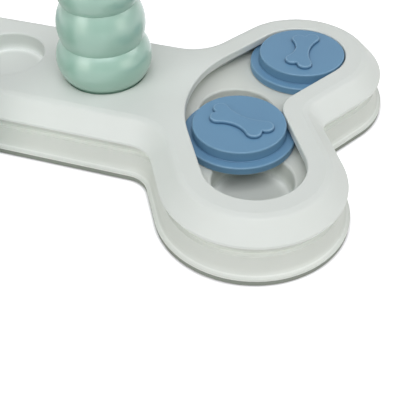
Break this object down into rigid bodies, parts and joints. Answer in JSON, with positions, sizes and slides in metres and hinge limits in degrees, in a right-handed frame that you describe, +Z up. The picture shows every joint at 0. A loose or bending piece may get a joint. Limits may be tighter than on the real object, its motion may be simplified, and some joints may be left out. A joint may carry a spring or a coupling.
{
  "type": "dog puzzle feeder toy",
  "caption": "Flat bone-shaped treat puzzle for dogs: discs slide along curved slots over hidden wells, and stacked-ring towers lift out of round wells in the shaft.",
  "frame": {"origin": "on the standing surface, under the middle of the bone", "axes": "+X along the bone towards the end with the moved disc, +Y to the rear, +Z up"},
  "size_m": [0.3552, 0.2016, 0.0982],
  "materials": {
    "cover_plastic": "light warm grey, satin moulded",
    "base_plastic": "light warm grey, satin moulded",
    "sole_rubber": "dark grey soft non-slip",
    "screw_steel": "zinc plated",
    "disc_plastic": "dusty blue, satin moulded",
    "tower_plastic": "sage green, soft gloss"
  },
  "bodies": {
    "toy": {"top_cover": "cover_plastic", "base_shell": "base_plastic", "non_slip_sole": "sole_rubber", "cover_screws": "screw_steel"},
    "right_front_disc": {"disc_right_front": "disc_plastic"},
    "right_rear_disc": {"disc_right_rear": "disc_plastic"},
    "left_front_disc": {"disc_left_front": "disc_plastic"},
    "left_rear_disc": {"disc_left_rear": "disc_plastic"},
    "right_tower": {"tower_right": "tower_plastic"},
    "left_tower": {"tower_left": "tower_plastic"}
  },
  "joints": [
    {"name": "right_front_disc_slide", "type": "slide", "parent": "toy", "child": "right_front_disc", "axis": [-0.5015, 0.8652, 0], "range_m": [-0.0323, 0.003]},
    {"name": "right_rear_disc_slide", "type": "slide", "parent": "toy", "child": "right_rear_disc", "axis": [-0.5015, -0.8652, 0], "range_m": [0, 0.0162]},
    {"name": "left_front_disc_slide", "type": "slide", "parent": "toy", "child": "left_front_disc", "axis": [0.5015, 0.8652, 0], "range_m": [0, 0.025]},
    {"name": "left_rear_disc_slide", "type": "slide", "parent": "toy", "child": "left_rear_disc", "axis": [0.5015, -0.8652, 0], "range_m": [0, 0.025]},
    {"name": "right_tower_lift", "type": "slide", "parent": "toy", "child": "right_tower", "axis": [0, 0, 1], "range_m": [0, 0.12]},
    {"name": "left_tower_lift", "type": "slide", "parent": "toy", "child": "left_tower", "axis": [0, 0, 1], "range_m": [0, 0.12]}
  ]
}
